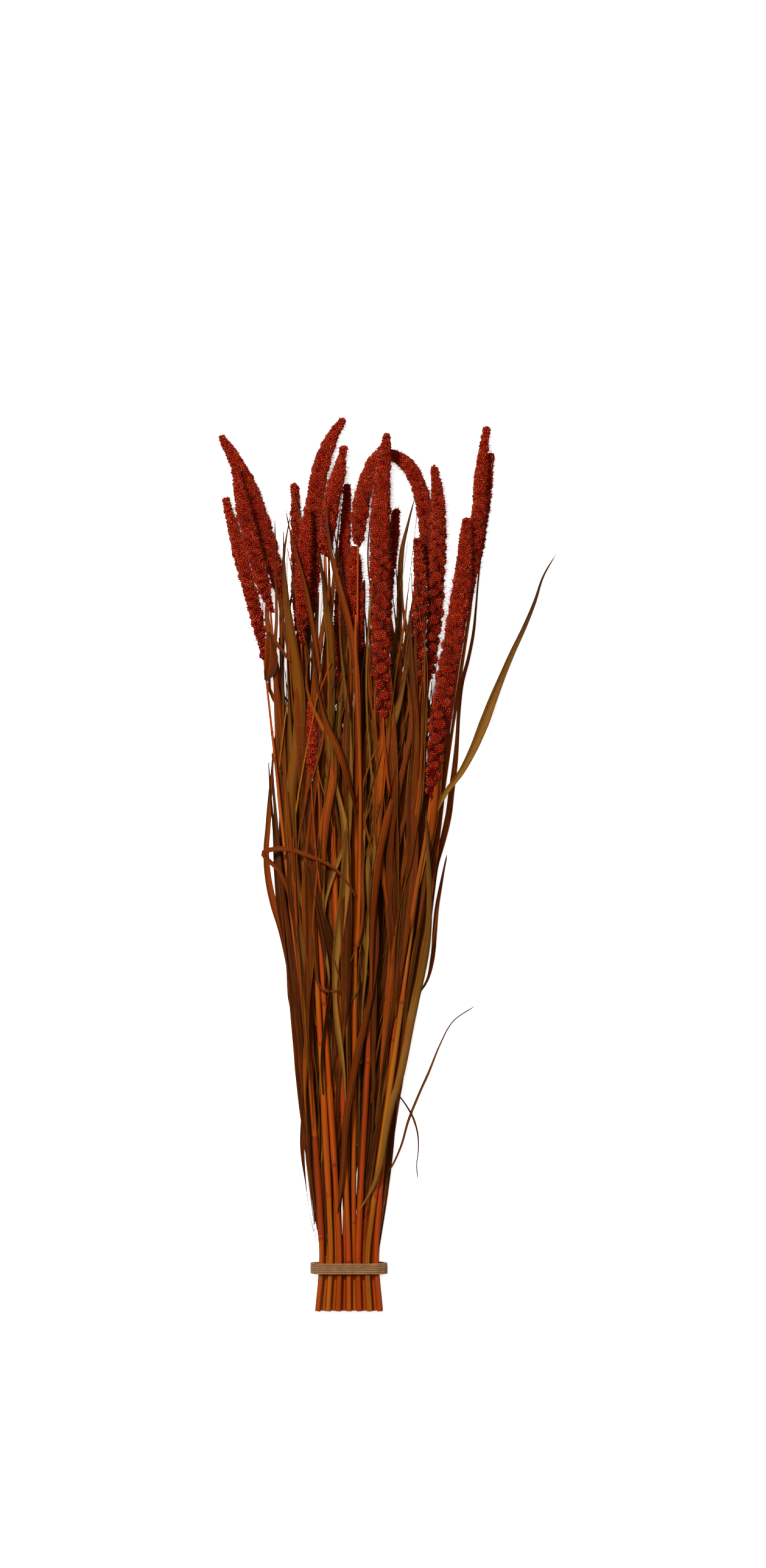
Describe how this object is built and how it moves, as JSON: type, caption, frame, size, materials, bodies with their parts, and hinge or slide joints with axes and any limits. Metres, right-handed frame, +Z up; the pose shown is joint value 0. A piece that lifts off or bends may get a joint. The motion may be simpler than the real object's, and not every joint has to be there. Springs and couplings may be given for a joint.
{
  "type": "bunch of millet seed heads",
  "caption": "Tied bunch of dried foxtail millet lying on its back, with deep red bristly seed heads on long ochre stems and curled brown leaves.",
  "frame": {"origin": "on the surface the bunch lies on, under the middle of its bounding box", "axes": "+X across the bunch, to the right in the picture; +Y from the cut ends to the tips; +Z up from the surface, towards the viewer"},
  "size_m": [0.2772, 0.7314, 0.0422],
  "materials": {
    "seeds": "dyed grain with a satin sheen, pebbly, with fine bristles",
    "straw": "satin dry straw, smooth between darker nodes",
    "leaf": "dry leaf, finely veined, matte to satin",
    "twine": "natural twine, matte"
  },
  "bodies": {
    "root": {"binding_band": "twine", "leaf_brown_right": "leaf", "leaf_centre_spear": "leaf", "leaf_crossing": "leaf", "leaf_diagonal": "leaf", "leaf_folded": "leaf", "leaf_front_broad": "leaf", "leaf_gold": "leaf", "leaf_hanging": "leaf", "leaf_left_edge": "leaf", "leaf_left_spear": "leaf", "leaf_long_right": "leaf", "leaf_looped": "leaf", "leaf_low_stalk": "leaf", "leaf_narrow_left": "leaf", "leaf_olive": "leaf", "leaf_orange": "leaf", "leaf_right_broad": "leaf", "leaf_right_edge": "leaf", "leaf_tendril": "leaf", "seed_head_01": "seeds", "seed_head_02": "seeds", "seed_head_03": "seeds", "seed_head_04": "seeds", "seed_head_05": "seeds", "seed_head_06": "seeds", "seed_head_07": "seeds", "seed_head_08": "seeds", "seed_head_09": "seeds", "seed_head_10": "seeds", "seed_head_11": "seeds", "seed_head_12": "seeds", "seed_head_13": "seeds", "seed_head_14": "seeds", "seed_head_15": "seeds", "seed_head_16": "seeds", "seed_head_17": "seeds", "seed_head_18": "seeds", "seed_head_19": "seeds", "seed_head_20": "seeds", "stem_01": "straw", "stem_02": "straw", "stem_03": "straw", "stem_04": "straw", "stem_05": "straw", "stem_06": "straw", "stem_07": "straw", "stem_08": "straw", "stem_09": "straw", "stem_10": "straw", "stem_11": "straw", "stem_12": "straw", "stem_13": "straw", "stem_14": "straw", "stem_15": "straw", "stem_16": "straw", "stem_17": "straw", "stem_18": "straw", "stem_19": "straw", "stem_20": "straw"}
  },
  "joints": []
}
